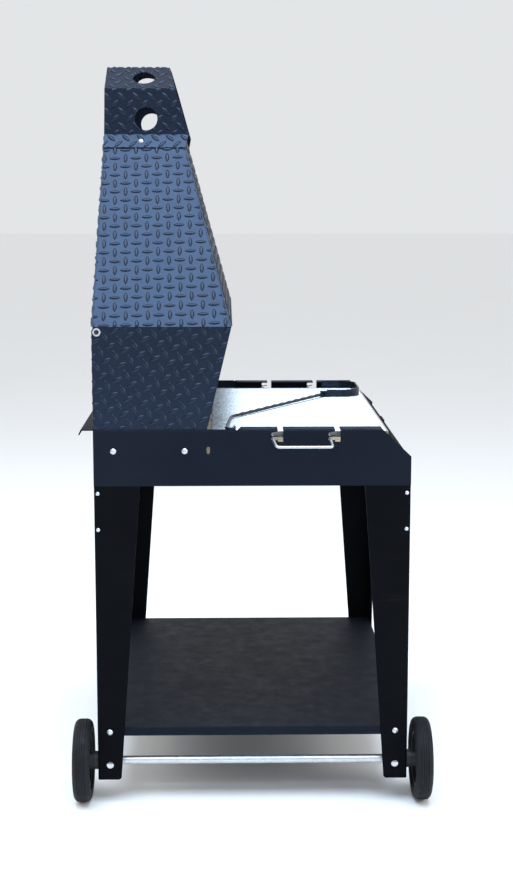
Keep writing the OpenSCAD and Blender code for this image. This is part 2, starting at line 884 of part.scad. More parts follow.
// A folded ear: its lower leaf turns on the hinge pin, its upper leaf lies inside the hood's end
module hinge_ear() {
    inner_face = sheet * norm([end_slope, 1]) + 0.05;
    meet_z = crease_height + (half_length - inner_face - ear_outer_x) / end_slope;
    leaf = ear_leaf * unit([end_slope, 1]);
    path = [
        [-ear_outer_x + leaf.x, meet_z + leaf.y], [-ear_outer_x, meet_z],
        [-ear_outer_x, hinge_z - ear_radius]
    ];
    difference() {
        union() {
            along_y(hinge_y - ear_length, hinge_y) folded(path, ear_thickness);
            along_x(-ear_outer_x, -ear_outer_x + ear_thickness)
                translate([hinge_y, hinge_z]) circle(r = ear_radius);
        }
        translate([-ear_outer_x - eps, hinge_y, hinge_z])
            rotate([0, 90, 0])
                cylinder(r = hinge_radius + running_slack, h = ear_thickness + 2 * eps, $fn = 96);
    }
}

module hinge_ear_left() color(tread_paint) on_cart() hinge_ear();
module hinge_ear_right() color(tread_paint) on_cart() mirror([1, 0, 0]) hinge_ear();

// The cap's strip seen from the front: flap, side, slope and flat top, on both ends
function cap_half() = [
    [end_x(cap_flap_bottom), cap_flap_bottom],
    [cap_side_x, crease_height + (half_length - cap_side_x) / end_slope],
    [cap_side_x, cap_side_top - sheet],
    [cap_top_half, cap_top - sheet]
];

module cap_strip() {
    half = cap_half();
    n = len(half);
    path = concat([for (i = [0:n - 1]) half[i]], [for (i = [n - 1:-1:0]) [-half[i].x, half[i].y]]);
    folded(path, -sheet);
}

module cap_outline() {
    fold_z = cap_half()[1].y;
    top_front = cap_front_y + cap_front_slope * (cap_top - fold_z);
    polygon([
        [cap_flap_front_y, cap_flap_bottom - 10], [cap_flap_front_y, cap_flap_bottom],
        [cap_front_y, fold_z], [top_front, cap_top + 1],
        [back_y_at(cap_top), cap_top + 1], [back_y_at(cap_flap_bottom), cap_flap_bottom - 10]
    ]);
}

module chimney_cap() color(tread_paint) on_cart()
    difference() {
        intersection() {
            along_y(0, half_depth) cap_strip();
            along_x(-half_length, half_length) cap_outline();
        }
        translate([-half_length, vent_y, side_vent_z])
            rotate([0, 90, 0]) cylinder(d = vent_diameter, h = body_length);
        both_ends() roof_vent();
        both_ends() cap_bolt_hole(-sheet, 0);
    }

module roof_vent() {
    rise = cap_top - cap_side_top;
    run = cap_side_x - cap_top_half;
    translate([-roof_vent_x, roof_vent_y, cap_side_top + rise * (cap_side_x - roof_vent_x) / run])
        rotate([0, -atan2(rise, run), 0])
            translate([0, 0, -vent_diameter / 2]) cylinder(d = vent_diameter, h = vent_diameter);
}

// On the hood's sloped end, with +X pointing straight into the sheet
module cap_bolt_place() {
    translate([-end_x(cap_bolt_z), cap_bolt_y, cap_bolt_z])
        rotate([0, atan(end_slope), 0]) children();
}

module cap_bolt_hole(from, to) {
    cap_bolt_place()
        rotate([0, 90, 0])
            translate([0, 0, from - eps]) cylinder(r = cap_bolt_shank + shank_slack, h = to - from + 2 * eps);
}

module cap_bolts() color(zinc) on_cart()
    both_ends() cap_bolt_place() translate([-sheet, 0, 0]) bolt(6.5, cap_bolt_shank, 2 * sheet + 6);

module cap_nuts() color(zinc) on_cart()
    both_ends() cap_bolt_place() translate([sheet, 0, 0]) nut(10, 5, cap_bolt_shank);

side_panel_left();
side_panel_right();
front_panel();
back_panel();
firebox_floor();
firebricks();
leg_rear_left();
leg_front_left();
leg_rear_right();
leg_front_right();
leg_gussets();
leg_screws();
foot_cap_rear();
foot_cap_front();
lower_shelf();
shelf_bolts();
shelf_nuts();
axle();
axle_spacers();
axle_washers();
axle_caps();
wheel_hub_rear();
wheel_hub_front();
tyre_rear();
tyre_front();
grate_frame();
grate_bars();
grate_rods();
grate_handle_left();
grate_handle_right();
rake_rod();
rake_handle();
rake_socket();
rake_head();
hood_cheek_left();
hood_cheek_right();
hood_lower_back();
hood_back_strip();
cheek_bolts();
cheek_nuts();
hood_front();
hood_back();
hood_end_left();
hood_end_right();
hinge_ear_left();
hinge_ear_right();
hinge_pins();
hinge_nuts();
chimney_cap();
cap_bolts();
cap_nuts();
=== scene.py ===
import json
import math

import bmesh
import bpy
from mathutils import Matrix, Vector, noise
from mathutils.geometry import convex_hull_2d


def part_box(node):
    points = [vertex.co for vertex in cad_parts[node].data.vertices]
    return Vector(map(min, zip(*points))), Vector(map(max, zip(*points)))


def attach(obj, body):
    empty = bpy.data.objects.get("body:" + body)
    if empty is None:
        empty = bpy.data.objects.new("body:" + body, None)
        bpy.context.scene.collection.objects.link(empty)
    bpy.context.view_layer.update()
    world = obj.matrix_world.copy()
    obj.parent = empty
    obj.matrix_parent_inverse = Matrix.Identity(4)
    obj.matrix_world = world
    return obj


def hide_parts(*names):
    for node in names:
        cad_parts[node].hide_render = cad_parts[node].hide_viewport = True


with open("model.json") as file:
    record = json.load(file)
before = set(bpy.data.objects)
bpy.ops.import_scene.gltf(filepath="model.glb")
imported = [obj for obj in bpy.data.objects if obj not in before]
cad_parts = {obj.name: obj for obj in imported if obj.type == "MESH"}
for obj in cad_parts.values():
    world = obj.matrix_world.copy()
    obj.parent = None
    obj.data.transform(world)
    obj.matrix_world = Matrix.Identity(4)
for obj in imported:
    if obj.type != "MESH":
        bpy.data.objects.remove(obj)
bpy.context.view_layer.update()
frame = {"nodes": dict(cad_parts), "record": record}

MM = 0.001
UP = Vector((0, 0, 1))


# ---------------------------------------------------------------- places, from the frame

def middle(node):
    lo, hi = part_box(node)
    return (Vector(lo) + Vector(hi)) / 2


def corners(node):
    lo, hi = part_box(node)
    return Vector(lo), Vector(hi)


CART_X = middle("hood_front").x
PANEL_TOP = corners("side_panel_left")[1].z
ROD_RADIUS = (corners("grate_rods")[1].z - corners("grate_rods")[0].z) / 2


# ---------------------------------------------------------------- materials

class Surface:
    """A node material on one Principled shader, in object coordinates, which here are metres."""

    def __init__(self, name, roughness=0.5, metallic=0.0, specular=0.5):
        self.material = bpy.data.materials.new(name)
        self.material.use_nodes = True
        self.tree = self.material.node_tree
        self.shader = self.tree.nodes["Principled BSDF"]
        self.shader.inputs["Roughness"].default_value = roughness
        self.shader.inputs["Metallic"].default_value = metallic
        self.shader.inputs["Specular IOR Level"].default_value = specular
        self.place = self.node("ShaderNodeTexCoord").outputs["Object"]
        self.normal = None

    def node(self, kind, **values):
        """A new shader node with some of its settings."""
        made = self.tree.nodes.new(kind)
        for key, value in values.items():
            setattr(made, key, value)
        return made

    def link(self, source, target):
        self.tree.links.new(source, target)

    def stretched(self, scale):
        """The place on the object, scaled along each axis."""
        mapping = self.node("ShaderNodeMapping")
        mapping.inputs["Scale"].default_value = scale
        self.link(self.place, mapping.inputs["Vector"])
        return mapping.outputs["Vector"]

    def noise(self, size, detail=4.0, stretch=(1, 1, 1), rough=0.55):
        """Noise whose lumps are about size metres across."""
        made = self.node("ShaderNodeTexNoise")
        made.inputs["Scale"].default_value = 1 / size
        made.inputs["Detail"].default_value = detail
        made.inputs["Roughness"].default_value = rough
        self.link(self.stretched(stretch), made.inputs["Vector"])
        return made.outputs["Fac"]

    def cells(self, size, feature="F1", output="Distance"):
        """Cells about size metres across."""
        made = self.node("ShaderNodeTexVoronoi", feature=feature)
        made.inputs["Scale"].default_value = 1 / size
        self.link(self.place, made.inputs["Vector"])
        return made.outputs[output]

    def ramp(self, value, *stops):
        """A colour ramp; each stop is (place, colour), a colour being a number or three."""
        made = self.node("ShaderNodeValToRGB")
        band = made.color_ramp
        while len(band.elements) < len(stops):
            band.elements.new(0.5)
        for element, (place, colour) in zip(band.elements, stops):
            element.position = place
            element.color = (*(colour if isinstance(colour, tuple) else (colour,) * 3), 1)
        self.link(value, made.inputs["Fac"])
        return made.outputs["Color"]

    def scaled(self, value, low, high, start=0.3, end=0.7):
        """A value that runs from start to end, spread over low to high."""
        made = self.node("ShaderNodeMapRange")
        for key, number in (("From Min", start), ("From Max", end), ("To Min", low), ("To Max", high)):
            made.inputs[key].default_value = number
        self.link(value, made.inputs["Value"])
        return made.outputs["Result"]

    def mix(self, amount, first, second):
        """Two colours mixed; the amount and each colour are a socket or plain numbers."""
        made = self.node("ShaderNodeMix", data_type="RGBA")
        for key, value in ((0, amount), (6, first), (7, second)):
            if isinstance(value, (int, float)):
                made.inputs[key].default_value = value
            elif isinstance(value, tuple):
                made.inputs[key].default_value = (*value, 1)
            else:
                self.link(value, made.inputs[key])
        return made.outputs[2]

    def bump(self, height, depth, strength=1.0):
        """Adds relief of about depth metres, on top of any already there."""
        made = self.node("ShaderNodeBump")
        made.inputs["Distance"].default_value = depth
        made.inputs["Strength"].default_value = strength
        self.link(height, made.inputs["Height"])
        if self.normal is not None:
            self.link(self.normal, made.inputs["Normal"])
        self.normal = made.outputs["Normal"]

    def finish(self, colour=None, roughness=None):
        """Joins the sockets given, and the relief, to the shader."""
        if colour is not None:
            self.link(colour, self.shader.inputs["Base Color"])
        if roughness is not None:
            self.link(roughness, self.shader.inputs["Roughness"])
        if self.normal is not None:
            self.link(self.normal, self.shader.inputs["Normal"])
        return self.material


# Painted reflection: a blue specular tint that colours the reflections of paint and iron, standing in
# for bluish sky light.
PAINTED_SKY_SHEEN = (0.46, 0.65, 1.0)


def shade(colour, factor):
    return tuple(channel * factor for channel in colour)


def powder_coat(name, colour, specular=0.3, roughness=(0.34, 0.5), dust=0.5, tint=(0.9, 0.95, 1.0)):
    """Satin paint over sheet: orange peel, cloudy gloss, fine scuffs and a little dust."""
    s = Surface(name, specular=specular)
    # Painted reflection: the specular tint, bluish by default, colours the paint's reflections in place
    # of bluish sky light.
    s.shader.inputs["Specular Tint"].default_value = (*tint, 1)
    cloud = s.noise(0.22, detail=3)
    body = s.ramp(cloud, (0.25, shade(colour, 0.8)), (0.75, shade(colour, 1.22)))
    speck = s.noise(0.0035, detail=2)
    body = s.mix(s.scaled(speck, 0, 0.35, 0.58, 0.72), body, shade(colour, 1.7))
    scuff = s.noise(0.05, detail=6, stretch=(1, 0.25, 3.2), rough=0.7)
    scuffs = s.scaled(scuff, 0, dust, 0.62, 0.74)
    body = s.mix(scuffs, body, tuple(c * 1.5 + 0.006 for c in colour))
    gloss = s.noise(0.035, detail=5)
    s.bump(s.noise(0.0022, detail=1), 0.00006, 0.5)
    s.bump(s.noise(0.3, detail=2), 0.0012, 0.25)
    return s.finish(body, s.scaled(gloss, roughness[0], roughness[1]))


def zinc_plate(name, colour):
    """Zinc plated steel: soft spangles, dull streaks and a fine grain."""
    s = Surface(name, metallic=0.92)
    grain = s.cells(0.006, output="Color")
    bright = s.ramp(grain, (0.0, shade(colour, 0.92)), (1.0, shade(colour, 1.08)))
    stain = s.scaled(s.noise(0.03, detail=5), 0, 0.4, 0.5, 0.8)
    body = s.mix(stain, bright, shade(colour, 0.62))
    s.bump(s.noise(0.0012, detail=3), 0.00008, 0.6)
    return s.finish(body, s.scaled(s.noise(0.009, detail=4), 0.26, 0.5))


def bright_wire(name, colour):
    """Stainless wire and strip: drawn lines along its length and a faint heat tint."""
    s = Surface(name, metallic=0.85)
    drawn = s.noise(0.004, detail=2, stretch=(1, 0.08, 1))
    body = s.ramp(drawn, (0.3, shade(colour, 0.93)), (0.7, shade(colour, 1.04)))
    tint = s.scaled(s.noise(0.12, detail=3), 0, 0.4, 0.5, 0.78)
    body = s.mix(tint, body, (colour[0] * 0.9, colour[1] * 0.8, colour[2] * 0.64))
    s.bump(drawn, 0.00002, 0.3)
    return s.finish(body, s.scaled(s.noise(0.015, detail=3), 0.24, 0.34))


def firebrick_clay(name, colour, step):
    """Pressed firebrick: each brick its own tone, grog specks, pores and soot in broad patches."""
    s = Surface(name, roughness=0.9, specular=0.2)
    snap = s.node("ShaderNodeVectorMath", operation="SNAP")
    snap.inputs[1].default_value = (step.x, step.y, 1)
    s.link(s.place, snap.inputs[0])
    toss = s.node("ShaderNodeTexWhiteNoise", noise_dimensions="3D")
    s.link(snap.outputs["Vector"], toss.inputs["Vector"])
    tone = s.ramp(toss.outputs["Value"], (0.0, shade(colour, 0.82)), (1.0, shade(colour, 1.1)))
    mottled = s.mix(s.scaled(s.noise(0.03, detail=6), 0, 0.6), tone, shade(colour, 0.78))
    grog = s.scaled(s.cells(0.005), 0.7, 0, 0.12, 0.3)
    specked = s.mix(grog, mottled, (colour[0] * 0.62, colour[1] * 0.52, colour[2] * 0.44))
    soot = s.scaled(s.noise(0.16, detail=6), 0, 0.5, 0.5, 0.8)
    body = s.mix(soot, specked, shade(colour, 0.3))
    s.bump(s.noise(0.004, detail=6), 0.0006, 0.7)
    s.bump(s.cells(0.009), 0.0008, 0.4)
    return s.finish(body)


def forged_iron(name, colour):
    """Black forged iron: scale, small hammer dents and patches rubbed grey."""
    s = Surface(name, specular=0.5)
    # Painted reflection: a blue specular tint on the iron's reflections, standing in for bluish sky
    # light.
    s.shader.inputs["Specular Tint"].default_value = (*PAINTED_SKY_SHEEN, 1)
    scale = s.noise(0.01, detail=8, rough=0.7)
    body = s.ramp(scale, (0.3, shade(colour, 0.6)), (0.62, colour), (0.8, shade(colour, 2.4)))
    s.bump(s.cells(0.011, feature="SMOOTH_F1"), 0.0006, 0.5)
    s.bump(s.noise(0.002, detail=5), 0.0002, 0.6)
    return s.finish(body, s.scaled(s.noise(0.012, detail=5), 0.22, 0.38))


def black_rubber(name, colour):
    """Moulded rubber: matt, greyed by dust in fine patches, with scuffs."""
    s = Surface(name, specular=0.24)
    worn = s.noise(0.02, detail=8, rough=0.7)
    body = s.ramp(worn, (0.3, shade(colour, 0.75)), (0.7, shade(colour, 1.5)))
    dust = s.scaled(s.noise(0.006, detail=6), 0, 0.4, 0.55, 0.75)
    body = s.mix(dust, body, tuple(c * 2 + 0.006 for c in colour))
    s.bump(s.noise(0.0015, detail=4), 0.00012, 0.6)
    return s.finish(body, s.scaled(s.noise(0.02, detail=4), 0.55, 0.85))


def moulded_plastic(name, colour):
    """Moulded plastic with a spark-eroded grain and a few pale rubs."""
    s = Surface(name, specular=0.45)
    body = s.ramp(s.noise(0.05, detail=5), (0.3, shade(colour, 0.85)), (0.7, shade(colour, 1.25)))
    rub = s.scaled(s.noise(0.012, detail=7, rough=0.7), 0, 0.5, 0.62, 0.75)
    body = s.mix(rub, body, shade(colour, 2.6))
    s.bump(s.cells(0.0016), 0.00008, 0.6)
    return s.finish(body, s.scaled(s.noise(0.03, detail=4), 0.42, 0.62))


BLACK = (0.0060, 0.0068, 0.0108)
LEG_BLACK = (0.0024, 0.0026, 0.0036)
# Dark tread paint whose blue hue is painted reflection, matched to the blue of sky reflected on the
# tread.
TREAD_BLACK_PAINTED_SKY_BLUE = (0.0020, 0.0030, 0.0085)
ZINC = (0.58, 0.60, 0.62)
STAINLESS = (0.52, 0.54, 0.555)
CLAY = (0.72, 0.60, 0.42)
IRON = (0.006, 0.007, 0.011)
RUBBER = (0.0055, 0.0057, 0.0070)
PLASTIC = (0.012, 0.012, 0.014)

BRICK_STEP = Vector((0.123, 0.241, 0))
materials = {
    "panel_paint": powder_coat(
        "panel_paint", BLACK, specular=0.14, roughness=(0.50, 0.64), tint=PAINTED_SKY_SHEEN,
    ),
    "leg_paint": powder_coat("leg_paint", LEG_BLACK, specular=0.04, roughness=(0.44, 0.6)),
    "tread_paint": powder_coat(
        "tread_paint", TREAD_BLACK_PAINTED_SKY_BLUE, specular=0.56, roughness=(0.25, 0.36), tint=PAINTED_SKY_SHEEN,
    ),
    "ear_paint": powder_coat("ear_paint", BLACK),
    "firebrick": firebrick_clay("firebrick", CLAY, BRICK_STEP),
    "zinc": zinc_plate("zinc", ZINC),
    "stainless": bright_wire("stainless", STAINLESS),
    "black_iron": forged_iron("black_iron", IRON),
    "hub_plastic": moulded_plastic("hub_plastic", PLASTIC),
    "tyre_rubber": black_rubber("tyre_rubber", RUBBER),
    "foot_plastic": moulded_plastic("foot_plastic", shade(PLASTIC, 0.8)),
}
slot_of = {part["node"]: part["material_slot"] for part in frame["record"]["subparts"]}
body_of = {
    node: body for body, nodes in frame["record"]["behaviour"]["bodies"].items() for node in nodes
}


def coat(piece, slot):
    """Gives a piece the material of one of the record's slots, on all its faces."""
    piece.data.materials.clear()
    piece.data.materials.append(materials[slot])


for name, piece in frame["nodes"].items():
    coat(piece, slot_of[name])


# ---------------------------------------------------------------- making pieces

def new_piece(name, mesh, node, *replaced, smooth=True):
    """A piece that rides with a CAD node and takes its finish."""
    piece = bpy.data.objects.new(name, mesh)
    bpy.context.scene.collection.objects.link(piece)
    coat(piece, slot_of[node])
    if smooth:
        mesh.shade_smooth()
    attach(piece, body_of[node])
    if replaced:
        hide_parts(*replaced)
    return piece


def mesh_of(name, points, faces):
    """The mesh of some points and faces."""
    mesh = bpy.data.meshes.new(name)
    mesh.from_pydata([tuple(p) for p in points], [], faces)
    mesh.validate()
    return mesh


def mesh_from(name, shape):
    """The mesh of a bmesh, with its faces turned outwards."""
    mesh = bpy.data.meshes.new(name)
    bmesh.ops.recalc_face_normals(shape, faces=shape.faces)
    shape.to_mesh(mesh)
    shape.free()
    return mesh


def turned_outwards(name, points, faces):
    """The mesh of some points and faces, with the faces turned outwards."""
    made = mesh_of(name, points, faces)
    shape = bmesh.new()
    shape.from_mesh(made)
    bpy.data.meshes.remove(made)
    return mesh_from(name, shape)


def bevelled(piece, width):
    """Rounds a piece's sharp edges, and keeps the shading of its wide faces flat."""
    bevel = piece.modifiers.new("edges", "BEVEL")
    bevel.width = width
    bevel.segments = 2
    bevel.limit_method = "ANGLE"
    bevel.angle_limit = math.radians(40)
    shading = piece.modifiers.new("flat faces", "WEIGHTED_NORMAL")
    shading.keep_sharp = True
    shading.weight = 100
    return piece


def softened(node, width=0.5 * MM, fold=None, fold_radius=5 * MM):
    """A copy of a folded or cut sheet with its edges rounded, in place of the CAD node. The edges
    both of whose ends pass the fold test are rolled to fold_radius."""
    shape = bmesh.new()
    shape.from_mesh(frame["nodes"][node].data)
    bmesh.ops.remove_doubles(shape, verts=shape.verts, dist=0.01 * MM)
    bmesh.ops.dissolve_limit(shape, angle_limit=math.radians(0.5), verts=shape.verts, edges=shape.edges)
    if fold:
        rolled = [edge for edge in shape.edges if all(fold(vert.co) for vert in edge.verts)]
        bmesh.ops.bevel(
            shape, geom=rolled, offset=fold_radius, segments=6, profile=0.5, affect="EDGES",
            clamp_overlap=False,
        )
    mesh = mesh_from(node + "_sheet", shape)
    return bevelled(new_piece(node + "_sheet", mesh, node, node), width)


def swept(path, section, turn=None):
    """Points and faces of a solid whose section, points in the plane across the path, follows the
    path. The section is turned at each point of the path by the angle in turn."""
    points, faces = [], []
    side = UP
    count = len(section)
    for i, here in enumerate(path):
        ahead = (path[min(i + 1, len(path) - 1)] - path[max(i - 1, 0)]).normalized()
        if abs(ahead.dot(side)) > 0.98:
            side = Vector((0, 1, 0)) if abs(ahead.y) < 0.9 else Vector((1, 0, 0))
        side = (side - ahead * side.dot(ahead)).normalized()
        across = ahead.cross(side)
        spin = turn[i] if turn else 0
        for u, v in section:
            a = u * math.cos(spin) - v * math.sin(spin)
            b = u * math.sin(spin) + v * math.cos(spin)
            points.append(here + across * a + side * b)
        if i:
            first, last = (i - 1) * count, i * count
            for k in range(count):
                j = (k + 1) % count
                faces.append((first + k, first + j, last + j, last + k))
    faces.append(tuple(range(count))[::-1])
    faces.append(tuple((len(path) - 1) * count + k for k in range(count)))
    return points, faces


def circle(radius, count=16):
    turn = 2 * math.pi / count
    return [(radius * math.cos(k * turn), radius * math.sin(k * turn)) for k in range(count)]


def rounded_route(corner_points, radius, steps=8):
    """The corner points joined by straight lines, each inner corner rounded from radius before it
    to radius after it."""
    route = [corner_points[0]]
    for before, here, after in zip(corner_points, corner_points[1:], corner_points[2:]):
        back, on = (before - here).normalized(), (after - here).normalized()
        reach = min(radius, (before - here).length * 0.48, (after - here).length * 0.48)
        start, end = here + back * reach, here + on * reach
        for k in range(steps + 1):
            t = k / steps
            route.append(start * (1 - t) ** 2 + here * 2 * t * (1 - t) + end * t ** 2)
    route.append(corner_points[-1])
    return route


def lathed(profile, centre, count=144):
    """A ring of revolution about the wheel's axis, from (radius, place along the axis) points."""
    points, faces = [], []
    size = len(profile)
    for i in range(count):
        a = 2 * math.pi * i / count
        for r, y in profile:
            points.append(centre + Vector((r * math.cos(a), y, r * math.sin(a))))
        nxt = (i + 1) % count
        for k in range(size):
            j = (k + 1) % size
            faces.append((i * size + k, i * size + j, nxt * size + j, nxt * size + k))
    return points, faces


# ---------------------------------------------------------------- tread plate

TREAD_PITCH = 25.8 * MM
TREAD_LENGTH = 28 * MM
TREAD_WIDTH = 9.8 * MM
TREAD_HEIGHT = 2.7 * MM
# Faces along a lens, and the places of its points from one long side to the other.
TREAD_ALONG = 10
TREAD_ACROSS = (-1, -0.86, -0.5, 0, 0.5, 0.86, 1)


class Plate:
    """The largest flat face of a node that looks along direction: its normal and level, the axes
    across and up it, and its outline along those axes, cut off below floor."""

    def __init__(self, node, direction, floor=None):
        direction = Vector(direction).normalized()
        looking = [face for face in flat_faces(node) if face[1].normalized().dot(direction) > 0.985]
        _, normal, points = max(looking, key=lambda face: face[0])
        self.normal = normal.normalized()
        self.level = max(p.dot(self.normal) for p in points)
        across = UP.cross(self.normal) if abs(self.normal.z) < 0.99 else Vector((1, 0, 0))
        self.across = across.normalized()
        self.up = self.normal.cross(self.across)
        flat = [self.flat(p) for p in points if self.level - p.dot(self.normal) < 0.5 * MM]
        outline = [flat[i] for i in convex_hull_2d(flat)]
        if floor is not None:
            raised = [Vector((p.x, max(p.y, floor))) for p in outline]
            outline = [raised[i] for i in convex_hull_2d(raised)]
        self.outline = outline
        self.middle = sum(outline, Vector((0, 0))) / len(outline)

    def flat(self, point):
        """A point's place along the two axes."""
        return Vector((point.dot(self.across), point.dot(self.up)))

    def point(self, flat, height=0):
        """The point at a place along the two axes, height above the plate."""
        return self.normal * self.level + self.across * flat.x + self.up * flat.y + self.normal * height

    def edges(self):
        """Each side of the outline, as one of its ends and the direction outwards across it."""
        for p, q in zip(self.outline, self.outline[1:] + self.outline[:1]):
            if (q - p).length > 0.1 * MM:
                edge = (q - p).normalized()
                away = Vector((edge.y, -edge.x))
                yield p, -away if away.dot(self.middle - p) > 0 else away

    def near(self, flat, margin):
        """True if a place is inside the outline, or within margin of it."""
        return all(away.dot(flat - p) <= margin for p, away in self.edges())


def flat_faces(node):
    """The node's flat faces, each as its area, a vector along its normal, and its points."""
    found = {}
    mesh = frame["nodes"][node].data
    for face in mesh.polygons:
        key = tuple(round(c * 20) for c in face.normal)
        area, normal, points = found.get(key, (0, Vector(), []))
        points = points + [mesh.vertices[i].co.copy() for i in face.vertices]
        found[key] = (area + face.area, normal + face.normal * face.area, points)
    return found.values()


def lens_places(plate, angle, start):
    """The middle of each lens that may reach onto the plate, with the directions along and across
    the lens. The rows are turned by angle degrees, and one lens has its middle at start."""
    ca, sa = math.cos(math.radians(angle)), math.sin(math.radians(angle))
    axes = (Vector((ca, sa)), Vector((-sa, ca)))
    reach = max((p - plate.middle).length for p in plate.outline) + TREAD_PITCH
    count = int(reach / TREAD_PITCH) + 1
    column, row = (round((plate.middle - start).dot(axis) / TREAD_PITCH) for axis in axes)
    for a in range(column - count, column + count + 1):
        for b in range(row - count, row + count + 1):
            centre = start + axes[0] * (a * TREAD_PITCH) + axes[1] * (b * TREAD_PITCH)
            if plate.near(centre, TREAD_LENGTH / 2):
                way = (a + b) % 2
                yield centre, axes[way], axes[1 - way]


def lens_points(centre, along, across):
    """One raised lens of the tread, as (place in the plate, height above it) over a grid."""
    grid = []
    for i in range(TREAD_ALONG + 1):
        s = 2 * i / TREAD_ALONG - 1
        belly = max(1 - s * s, 0)
        half = TREAD_WIDTH / 2 * belly ** 0.8 + 0.15 * MM
        rise = TREAD_HEIGHT * belly ** 0.45
        for t in TREAD_ACROSS:
            height = rise * max(1 - abs(t) ** 2.2, 0)
            flat = centre + along * (s * TREAD_LENGTH / 2) + across * (t * half)
            grid.append((flat, height))
    return grid


def lens_faces(first):
    """The faces of a lens whose points are numbered from first."""
    columns = len(TREAD_ACROSS)
    rows = [first + i * columns for i in range(TREAD_ALONG)]
    return [
        (k, k + 1, k + columns + 1, k + columns) for row in rows for k in range(row, row + columns - 1)
    ]


def cut_round_holes(flat, height, holes):
    """A lens's point, moved to the rim of the hole that it falls in."""
    for middle_point, radius in holes:
        off = flat - middle_point
        if off.length < radius:
            flat, height = middle_point + off.normalized() * radius, 0
    return flat, height


def cut_at_edges(shape, plate):
    """Cuts the lenses off just inside the plate's edges, and lays the cut down on the plate."""
    for corner, away in plate.edges():
        cut = bmesh.ops.bisect_plane(
            shape, geom=shape.verts[:] + shape.edges[:] + shape.faces[:], clear_outer=True,
            plane_co=plate.point(corner - away * 0.3 * MM),
            plane_no=plate.across * away.x + plate.up * away.y,
        )
        for item in cut["geom_cut"]:
            if isinstance(item, bmesh.types.BMVert):
                item.co -= plate.normal * (item.co.dot(plate.normal) - plate.level)


def tread(name, node, direction, angle=0.0, start=(0, 0), holes=(), floor=None):
    """The raised pattern on one face of a plate: lenses set alternately along and across, cut at
    its edges and at the holes, each a (middle, radius)."""
    plate = Plate(node, direction, floor)
    points, faces = [], []
    for centre, along, across in lens_places(plate, angle, Vector(start)):
        if all((centre - hole).length >= radius - TREAD_WIDTH for hole, radius in holes):
            faces += lens_faces(len(points))
            for flat, height in lens_points(centre, along, across):
                points.append(plate.point(*cut_round_holes(flat, height, holes)))
    shape = bmesh.new()
    verts = [shape.verts.new(p) for p in points]
    for face in faces:
        shape.faces.new([verts[k] for k in face])
    cut_at_edges(shape, plate)
    for face in shape.faces:
        if face.normal.dot(plate.normal) < 0:
            face.normal_flip()
    mesh = bpy.data.meshes.new(name)
    shape.to_mesh(mesh)
    shape.free()
    new_piece(name, mesh, node)


# Which way the sloped plates face, for the right-hand side; X is turned over for the left.
HOOD_END_X, HOOD_END_Z = 0.7945, 0.6073
CAP_ROOF_X, CAP_ROOF_Z = 0.5547, 0.8321
HOOD_FRONT_FACING = (0, -0.967, 0.256)
HOOD_BACK_FACING = (0, 1, 0.02)
# How each plate was cut from its sheet: the turn of the rows, in degrees, and a lens's middle.
END_TURN, END_START = 1.7, (-0.1994, 0.8956)
CHEEK_TURN = 29.4
CAP_TURN, CAP_SIDE_START = 45, (-0.0097, 0.0093)
# The cap's vents: how far each roof vent is from the middle, and their places.
VENT_RADIUS = 28.5 * MM
SIDE_VENT = Vector((0, 0.260, 1.652))
ROOF_VENT_OUT = 0.113
ROOF_VENT = Vector((CART_X, 0.266, 1.7543))

for side, sign in (("left", -1), ("right", 1)):
    facing = (sign * HOOD_END_X, 0, HOOD_END_Z)
    tread(f"hood_end_{side}_tread", f"hood_end_{side}", facing, angle=END_TURN, start=END_START)
    tread(
        f"hood_cheek_{side}_tread", f"hood_cheek_{side}", (sign, 0, 0),
        angle=-CHEEK_TURN * sign, floor=PANEL_TOP + 0.5 * MM,
    )
tread("hood_front_tread", "hood_front", HOOD_FRONT_FACING)
tread("hood_back_tread", "hood_back", HOOD_BACK_FACING)
tread("hood_lower_back_tread", "hood_lower_back", (0, 1, 0))

for side, sign in (("left", -1), ("right", 1)):
    facing = (sign * HOOD_END_X, 0, HOOD_END_Z)
    tread(f"cap_flap_{side}_tread", "chimney_cap", facing, angle=CAP_TURN)
    vent = Plate("chimney_cap", (sign, 0, 0)).flat(SIDE_VENT)
    tread(
        f"cap_side_{side}_tread", "chimney_cap", (sign, 0, 0),
        angle=CAP_TURN, start=CAP_SIDE_START, holes=[(vent, VENT_RADIUS)],
    )
    facing = (sign * CAP_ROOF_X, 0, CAP_ROOF_Z)
    vent = Plate("chimney_cap", facing).flat(ROOF_VENT + Vector((sign * ROOF_VENT_OUT, 0, 0)))
    tread(
        f"cap_roof_{side}_tread", "chimney_cap", facing,
        angle=CAP_TURN, holes=[(vent, VENT_RADIUS)],
    )
tread("cap_top_tread", "chimney_cap", (0, 0, 1), angle=CAP_TURN)


# ---------------------------------------------------------------- sheet parts

def on_top_edge(node, side):
    """A test for points on the outer top edge of a panel whose outside is at side, -1 or 1."""
    low, high = corners(node)
    outside = low.x if side < 0 else high.x
    return lambda point: abs(point.x - outside) < 0.1 * MM and abs(point.z - high.z) < 0.1 * MM


def on_shelf_rim(point):
    """The test for points on the outer top edge of the shelf."""
    low, high = corners("lower_shelf")
    edge = min(abs(point[k] - end[k]) for k in (0, 1) for end in (low, high))
    return edge < 0.1 * MM and abs(point.z - high.z) < 0.1 * MM


SHEET_EDGE = 0.7 * MM
softened("side_panel_left", SHEET_EDGE, on_top_edge("side_panel_left", -1), 6 * MM)
softened("side_panel_right", SHEET_EDGE, on_top_edge("side_panel_right", 1), 6 * MM)
softened("lower_shelf", SHEET_EDGE, on_shelf_rim, 3 * MM)
for node in (
    "front_panel", "back_panel", "leg_rear_left", "leg_front_left", "leg_rear_right", "leg_front_right",
    "foot_cap_rear", "foot_cap_front", "hood_front", "hood_back", "hood_end_left", "hood_end_right",
):
    softened(node, SHEET_EDGE)


